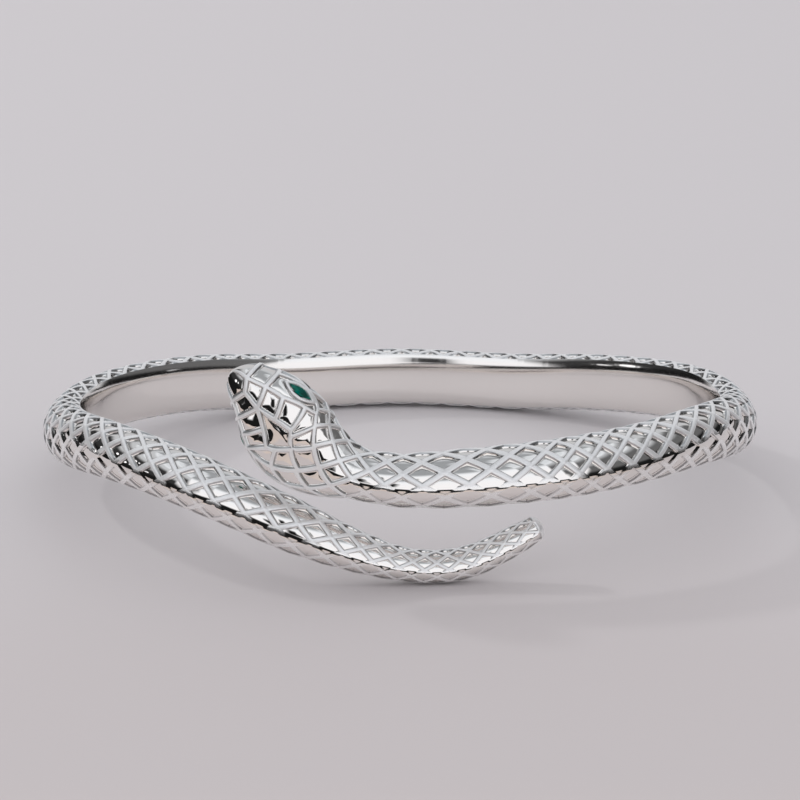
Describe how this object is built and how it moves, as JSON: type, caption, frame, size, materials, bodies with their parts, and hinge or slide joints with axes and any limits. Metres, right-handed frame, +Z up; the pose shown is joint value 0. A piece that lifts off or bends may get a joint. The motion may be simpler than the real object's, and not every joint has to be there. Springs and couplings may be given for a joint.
{
  "type": "snake bangle",
  "caption": "Rigid open bypass bangle cast as a snake: its head bends up past its tail, a raised diamond net covers the outside and the domed inner face is smooth.",
  "frame": {"origin": "on the table under the middle of the box round the whole bangle as it rests", "axes": "+X along the ring's long axis, the way the tail's tip points, +Y from the head to the back of the ring, +Z up through the wrist opening"},
  "size_m": [0.066, 0.0564, 0.0195],
  "materials": {
    "silver": "polished",
    "green_stone": "polished"
  },
  "bodies": {
    "root": {"snake_bangle": "silver", "eye_stone_right": "green_stone", "eye_stone_left": "green_stone"}
  },
  "joints": []
}
